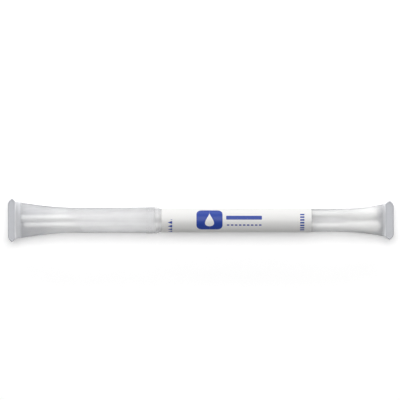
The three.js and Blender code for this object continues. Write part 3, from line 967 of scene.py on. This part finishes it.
def plastic_material(finishes):
    """Milky plastic: a satin skin that passes light on softened and lets some straight through,
    denser edge on and where the plastic is cloudy, with faint lines drawn along the tube. Its tint
    is darker beside and in the seals, painted shade, and pales along each seal's inner edge, a
    painted highlight. It shields the bare floor from the lamps more than it shields what lies
    inside it, which the light that it scatters reaches too."""
    shader = Shader(bpy.data.materials.new("milky_plastic"))
    place = shader.add("TexCoord", output="Object")
    drawn = shader.noise(place, (35, 900, 900), 3.0)
    cloud = shader.noise(place, (120, 300, 300), 2.0)
    facing = shader.add("LayerWeight", {"Blend": 0.5}, "Facing")
    sight, shadow, depth = (
        shader.add("LightPath", output=name)
        for name in ("Is Camera Ray", "Is Shadow Ray", "Transparent Depth")
    )
    welded, stuck, covered, rim_highlight, greyed, outer = (
        shader.add("Attribute", output="Fac", attribute_name=name)
        for name in ("welded", "stuck", "covered", "rim_highlight", "greyed", "outer")
    )
    edge = facing**2 * sight
    # Share by which the painted highlight pales the tint
    rim_highlight_share = 0.35

    # How much one face hides: what it scatters of the lamps' light, or hides from sight
    cover = shader.ramp(sight, 0, 1, finishes.plastic_haze, finishes.plastic_cover)
    cover += edge * finishes.plastic_edge
    cover += stuck * finishes.plastic_seal
    cover += covered * finishes.plastic_neck
    met_first = shader.math("LESS_THAN", depth, 0.5)
    cover += met_first * shadow * finishes.plastic_shadow
    mottle = shader.ramp(drawn, 0.3, 0.7, -0.015, 0.015)
    mottle += shader.ramp(cloud, 0.3, 0.7, -0.012, 0.012)
    cover = shader.math("ADD", cover, mottle, clamp=True) * outer

    tint = shader.blend(cloud, scaled(finishes.plastic, 0.985), scaled(finishes.plastic, 1.02))
    # Painted shade: the tint darkens beside the seal
    tint = shader.blend(greyed, tint, finishes.plastic_flare_shade)
    # Painted shade: the tint darkens where the walls stick and where they are welded
    tint = shader.blend(stuck, tint, finishes.plastic_stuck_shade)
    tint = shader.blend(welded, tint, finishes.plastic_seal_shade)
    # Painted highlight: a pale line along the seal's inner edge
    tint = shader.blend(rim_highlight * rim_highlight_share, tint, finishes.plastic)
    # Painted shade: the light let through darkens beside the seal
    through = shader.blend(greyed, finishes.plastic_clear, finishes.plastic_clear_flare_shade)
    through = shader.blend(edge, through, finishes.plastic_shade)
    through = shader.blend(outer * sight, (1, 1, 1), through)

    normal = shader.bump(drawn, 0.15, 0.02 * MM)
    satin = shader.principled(tint, finishes.plastic_roughness, 0.4, normal, {"IOR": 1.45})
    glow = shader.add("BsdfTranslucent", {"Color": tint, "Normal": normal})
    passed_on = (1 - stuck) * finishes.plastic_glow
    body = shader.add("MixShader", {0: passed_on, 1: satin, 2: glow})
    clear = shader.add("BsdfTransparent", {"Color": through})
    return shader.finish(shader.add("MixShader", {0: cover, 1: clear, 2: body}))


def film_material(finishes):
    """Clear shrunk film: glossy, nearly invisible face on, with a row of short slits near the
    label where it tears."""
    shader = Shader(bpy.data.materials.new("clear_film"))
    place = shader.add("UVMap", uv_map="pattern")
    u, v = shader.split(place)
    slit_row = FILM_HIGH.x - 0.9 * MM
    slit_cover, edge_cover = 0.12, 0.5
    in_row = shader.ramp(abs(u - slit_row), 0.1 * MM, 0.06 * MM)
    dash = shader.ramp(shader.math("PINGPONG", v, 0.55 * MM), 0.18 * MM, 0.24 * MM)
    haze = shader.noise(place, (500, 900, 1), 3.0)
    edge = shader.add("LayerWeight", {"Blend": 0.3}, "Facing") ** 3
    cover = edge * edge_cover + finishes.film_cover
    cover += shader.ramp(haze, 0.3, 0.75, -0.01, 0.02)
    cover = shader.math("ADD", cover, in_row * dash * slit_cover, clamp=True)
    normal = shader.bump(haze, 0.1, 0.01 * MM)
    gloss = shader.principled((0.9, 0.91, 0.93, 1), 0.12, 0.5, normal)
    clear = shader.add("BsdfTransparent")
    return shader.finish(shader.add("MixShader", {0: cover, 1: clear, 2: gloss}))


def label_material(finishes):
    """Coated paper with a plain blue print: a field with a white drop, a bar over a row of
    dashes, a column of arrowheads that point to the tear line, a column of ticks and ruled
    lines round the back. Lengths in it are in millimetres."""
    shader = Shader(bpy.data.materials.new("printed_label"))
    place = shader.add("UVMap", uv_map="pattern")
    u, v = (part / MM for part in shader.split(place))
    soft = 0.03  # half the blur of every printed edge

    def below(value, limit=0.0):
        """One where a value is under a limit."""
        return shader.ramp(value, limit + soft, limit - soft)

    def within(value, low, high):
        """One between two places."""
        return shader.ramp(value, low - soft, low + soft) * below(value, high)

    def zigzag(value, half_pitch):
        """A value folded up and down between nought and half a pitch."""
        return shader.math("PINGPONG", value, half_pitch)

    def at_least(value, low):
        """The greater of a value and a limit."""
        return shader.math("MAXIMUM", value, low)

    def box(middle_u, middle_v, half_u, half_v, corner=0.0):
        """One inside a rounded rectangle, by the distance to its edge."""
        du = abs(u - middle_u) - (half_u - corner)
        dv = abs(v - middle_v) - (half_v - corner)
        outside = shader.math("SQRT", at_least(du, 0.0) ** 2 + at_least(dv, 0.0) ** 2)
        inside = shader.math("MINIMUM", at_least(du, dv), 0.0)
        return below(outside + inside, corner)

    field = box(3.65, 0.3, 5.55, 4.7, corner=2.4)
    # A drop: half-width a (1 - s) sqrt(1 - s^2) at the height s from its round foot to its tip
    s = (v - 0.3) / 2.9
    rise = shader.math("SQRT", at_least(1 - s * s, 0.0))
    drop = below(abs(u - 3.65) - rise * (1 - s) * 1.45)

    bar = box(18.3, 1.15, 7.6, 0.85, corner=0.3)
    dash = shader.ramp(zigzag(u - 10.7, 0.85), 0.28, 0.34)
    dashes = within(u, 10.7, 25.9) * within(v, -2.35, -1.75) * dash

    # Arrowheads: a column of triangles, each as wide as its distance from its point
    arrow = below(zigzag(v + 40, 0.85) - (u + 14.1) * 0.36)
    arrows = within(u, -14.1, -12.2) * within(v, -8.2, 0.4) * arrow

    tick = shader.ramp(zigzag(v + 40, 0.6), 0.22, 0.28)
    ticks = within(u, 42.1, 43.9) * within(v, -5.6, 2.9) * tick

    rule = shader.ramp(zigzag(v, 1.6), 0.16, 0.1)
    rules = within(u, -8, 38) * rule * shader.ramp(abs(v), 8.2 - soft, 8.2 + soft)

    printed = field * (1 - drop)
    for mask in (bar, dashes, arrows, ticks, rules):
        printed = at_least(printed, mask)

    fibres = shader.noise(place, (5000, 5000, 1), 4.0, 0.6)
    tooth = shader.noise(place, (900, 900, 1), 2.0)
    paper = shader.blend(tooth, scaled(finishes.paper, 0.99), finishes.paper)
    ink = shader.blend(shader.ramp(fibres, 0.25, 0.75), finishes.ink, scaled(finishes.ink, 1.25))
    tint = shader.blend(printed, paper, ink)
    roughness = shader.ramp(printed, 0.0, 1.0, 0.5, 0.38)
    normal = shader.bump(printed * 0.5 + fibres, 0.2, 0.01 * MM)
    return shader.finish(shader.principled(tint, roughness, 0.3, normal))


def shaft_material(finishes):
    """Moulded white plastic, satin, with faint flow lines along it."""
    shader = Shader(bpy.data.materials.new("white_shaft_plastic"))
    place = shader.add("UVMap", uv_map="pattern")
    flow = shader.noise(place, (60, 2500, 1), 3.0)
    cloud = shader.noise(place, (300, 300, 1), 2.0)
    tint = shader.blend(cloud, scaled(finishes.shaft, 0.985), finishes.shaft)
    roughness = shader.ramp(flow, 0.2, 0.8, 0.34, 0.44)
    normal = shader.bump(flow, 0.3, 0.01 * MM)
    return shader.finish(shader.principled(tint, roughness, 0.4, normal))


def fibre_material(finishes):
    """Soft white fibre: fine threads that run round the tip on two slants, with a sheen."""
    shader = Shader(bpy.data.materials.new("white_fibre"))
    place = shader.add("TexCoord", output="Object")
    fine = shader.noise(place, (900, 5200, 5200), 4.0, 0.65)
    threads = shader.noise(place, (2600, 1500, 1500), 3.0, 0.6)
    height = fine * 0.6 + threads
    # Painted shade: the tint is darker where the bump is low, in the hollows between the threads
    tint = shader.blend(
        shader.ramp(height, 0.5, 1.1), scaled(finishes.fibre, 0.93), finishes.fibre
    )
    normal = shader.bump(height, 0.6, 0.06 * MM)
    sheen = {"Sheen Weight": 0.25, "Sheen Roughness": 0.5}
    return shader.finish(shader.principled(tint, 0.85, 0.2, normal, sheen))


def floor_material(stage):
    """A pale floor that keeps its shadows. Where it is seen bare, or mirrored, it is lifted to
    white, and behind the milky plastic it keeps its own shade."""
    shader = Shader(bpy.data.materials.new("pale_floor"))
    grain = shader.noise(shader.add("TexCoord", output="Object"), (400, 400, 400), 2.0)
    pale = [stage.floor] * 3
    matt = shader.add("BsdfDiffuse", {"Color": shader.blend(grain, scaled(pale, 0.998), pale)})
    camera, glossy, passed, depth = (
        shader.add("LightPath", output=name)
        for name in ("Is Camera Ray", "Is Glossy Ray", "Is Transmission Ray", "Transparent Depth")
    )
    seen = shader.math("ADD", camera + glossy, passed, clamp=True)
    seen = shader.math("SUBTRACT", seen, depth, clamp=True)
    lift = shader.add("Emission", {"Color": WHITE, "Strength": seen * stage.floor_lift})
    return shader.finish(shader.add("AddShader", {0: matt, 1: lift}))


def studio_world(stage):
    """Light from all round, while what is seen behind the floor is white."""
    shader = Shader(bpy.data.worlds.new("studio"))
    seen = shader.add("LightPath", output="Is Camera Ray")
    strength = shader.ramp(seen, 0.0, 1.0, stage.ambient, 1.0)
    sky = shader.add("Background", {"Color": WHITE, "Strength": strength})
    return shader.finish(sky, "OutputWorld")


# ---- operators


class SWABTUBE_OT_body(Operator):
    """Add the tube body, with its flared end, flat seal and slanted neck"""

    bl_idname = "swabtube.add_body"
    bl_label = "Add Tube Body"

    def execute(self, context):
        settings = context.scene.swab_tube
        mesh = tube_mesh("tube_body_shell", body_tube(settings))
        plastic = plastic_material(settings.finishes)
        add_piece(mesh, plastic, "tube_plastic", "tube", "tube_body")
        return {"FINISHED"}


class SWABTUBE_OT_cap(Operator):
    """Add the push-on cap, with its flared end and flat seal"""

    bl_idname = "swabtube.add_cap"
    bl_label = "Add Cap"

    def execute(self, context):
        settings = context.scene.swab_tube
        plastic = bpy.data.materials.get("milky_plastic") or plastic_material(settings.finishes)
        mesh = tube_mesh("cap_shell", cap_tube(settings))
        add_piece(mesh, plastic, "tube_plastic", "cap", "cap")
        return {"FINISHED"}


class SWABTUBE_OT_label(Operator):
    """Add the printed label that wraps the tube body"""

    bl_idname = "swabtube.add_label"
    bl_label = "Add Label"

    def execute(self, context):
        settings = context.scene.swab_tube
        mesh = label_mesh(body_tube(settings), settings.wraps)
        add_piece(mesh, label_material(settings.finishes), "label_paper", "tube", "label")
        return {"FINISHED"}


class SWABTUBE_OT_film(Operator):
    """Add the clear film band over the joint of cap and tube"""

    bl_idname = "swabtube.add_film"
    bl_label = "Add Film Band"

    def execute(self, context):
        settings = context.scene.swab_tube
        mesh = film_mesh(cap_tube(settings), body_tube(settings), settings.wraps)
        add_piece(mesh, film_material(settings.finishes), "seal_film", "cap", "tamper_seal")
        return {"FINISHED"}


class SWABTUBE_OT_swabs(Operator):
    """Add the two swabs, each a shaft and a fibre tip with loose strands"""

    bl_idname = "swabtube.add_swabs"
    bl_label = "Add Swabs"

    def execute(self, context):
        settings = context.scene.swab_tube
        swabs = settings.swabs
        body = body_tube(settings)
        plastic = shaft_material(settings.finishes)
        fibre = fibre_material(settings.finishes)
        axes = [shaft_axis(f"swab_shaft_{number}") for number in (1, 2)]
        bore_room = 0.3 * MM  # in each tip, past the shaft's end

        def middle(x):
            """Half-way between the two shafts' axes at x."""
            across = [a[1] + (b[1] - a[1]) * (x - a[0]) / (b[0] - a[0]) for a, b in axes]
            return (across[0] + across[1]) / 2

        for number, side, (start, core) in zip((1, 2), (1, -1), axes):
            along = unit(core - start)
            tip_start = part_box(f"swab_tip_{number}")[0].x
            end = start + along * ((tip_start - start[0]) / along[0] + swabs.tip_length)

            def shape(points, side=side):
                return squeeze(points, body, middle, side, swabs)

            shaft = shaft_mesh(f"shaft_{number}", start, core, swabs)
            add_piece(shaft, plastic, "shaft_plastic", "tube", f"swab_shaft_{number}")
            bore_end = float(np.dot(end - core, along)) - bore_room
            tip = tip_mesh(f"tip_{number}", end, along, bore_end, shape, swabs)
            add_piece(tip, fibre, "tip_fibre", "tube", f"swab_tip_{number}")
            strands = strand_mesh(f"strands_{number}", end, along, shape, swabs, number)
            add_piece(strands, fibre, "tip_fibre", "tube")
        return {"FINISHED"}


class SWABTUBE_OT_stage(Operator):
    """Add the pale floor, the lights and the camera straight above the tube"""

    bl_idname = "swabtube.add_stage"
    bl_label = "Add Stage"

    def execute(self, context):
        scene = context.scene
        stage = scene.swab_tube.stage
        side = 3.0  # half the floor's width
        low = min(0.0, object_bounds()[0][2])
        corners = [(-side, -side, low), (side, -side, low), (side, side, low), (-side, side, low)]
        mesh = bpy.data.meshes.new("floor")
        mesh.from_pydata(corners, [], [(0, 1, 2, 3)])
        mesh.materials.append(floor_material(stage))
        floor = bpy.data.objects.new("floor", mesh)
        scene.collection.objects.link(floor)
        floor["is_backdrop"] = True
        scene.world = studio_world(stage)

        for name, watts, tilt, width in (
            ("top_lamp", stage.top_watts, stage.top_tilt, stage.top_width),
            ("back_lamp", stage.back_watts, stage.back_tilt, stage.back_width),
        ):
            lamp = bpy.data.lights.new(name, "AREA")
            lamp.shape = "RECTANGLE"
            lamp.size, lamp.size_y = stage.lamp_length, width
            lamp.energy = watts
            fitting = bpy.data.objects.new(name, lamp)
            reach = stage.lamp_distance
            fitting.location = (0, reach * math.sin(tilt), AXIS_HEIGHT + reach * math.cos(tilt))
            fitting.rotation_euler = (-tilt, 0, 0)
            fitting.visible_camera = False
            scene.collection.objects.link(fitting)

        lens = bpy.data.cameras.new("camera")
        lens.sensor_width = 36
        lens.lens = lens.sensor_width * stage.camera_height / stage.view_width
        lens.clip_start, lens.clip_end = 0.01, 20
        camera = bpy.data.objects.new("camera", lens)
        camera.location = (stage.view_x, stage.view_y, AXIS_HEIGHT + stage.camera_height)
        scene.collection.objects.link(camera)
        scene.camera = camera

        # Enough bounces for light to pass every wall of tube, cap and film and spread inside
        scene.cycles.transparent_max_bounces = 32
        scene.cycles.max_bounces = 24
        scene.cycles.diffuse_bounces = 16
        scene.cycles.transmission_bounces = 16
        scene.view_settings.view_transform = "Standard"
        return {"FINISHED"}


class SWABTUBE_PT_panel(Panel):
    """The sidebar panel of the swab tube"""

    bl_label = "Swab Tube"
    bl_idname = "SWABTUBE_PT_panel"
    bl_space_type = "VIEW_3D"
    bl_region_type = "UI"
    bl_category = "Swab Tube"

    def draw(self, context):
        layout = self.layout
        settings = context.scene.swab_tube
        for step in STEPS:
            layout.operator(step.bl_idname)
        for name, group in GROUPS.items():
            box = layout.box()
            box.label(text=group.__doc__)
            for field in group.__annotations__:
                box.prop(getattr(settings, name), field)


STEPS = (
    SWABTUBE_OT_body,
    SWABTUBE_OT_cap,
    SWABTUBE_OT_label,
    SWABTUBE_OT_film,
    SWABTUBE_OT_swabs,
    SWABTUBE_OT_stage,
)
CLASSES = (*GROUPS.values(), SwabTubeSettings, *STEPS, SWABTUBE_PT_panel)


def register():
    for item in CLASSES:
        bpy.utils.register_class(item)
    bpy.types.Scene.swab_tube = PointerProperty(type=SwabTubeSettings)


def unregister():
    del bpy.types.Scene.swab_tube
    for item in reversed(CLASSES):
        bpy.utils.unregister_class(item)


def main():
    """Add every piece in order."""
    register()
    for item in list(bpy.data.objects):
        if item.name in ("Cube", "Light", "Camera"):  # Blender's own, from its start-up scene
            bpy.data.objects.remove(item)
    bpy.ops.swabtube.add_body()
    bpy.ops.swabtube.add_cap()
    bpy.ops.swabtube.add_label()
    bpy.ops.swabtube.add_film()
    bpy.ops.swabtube.add_swabs()
    bpy.ops.swabtube.add_stage()


if __name__ == "__main__":
    main()
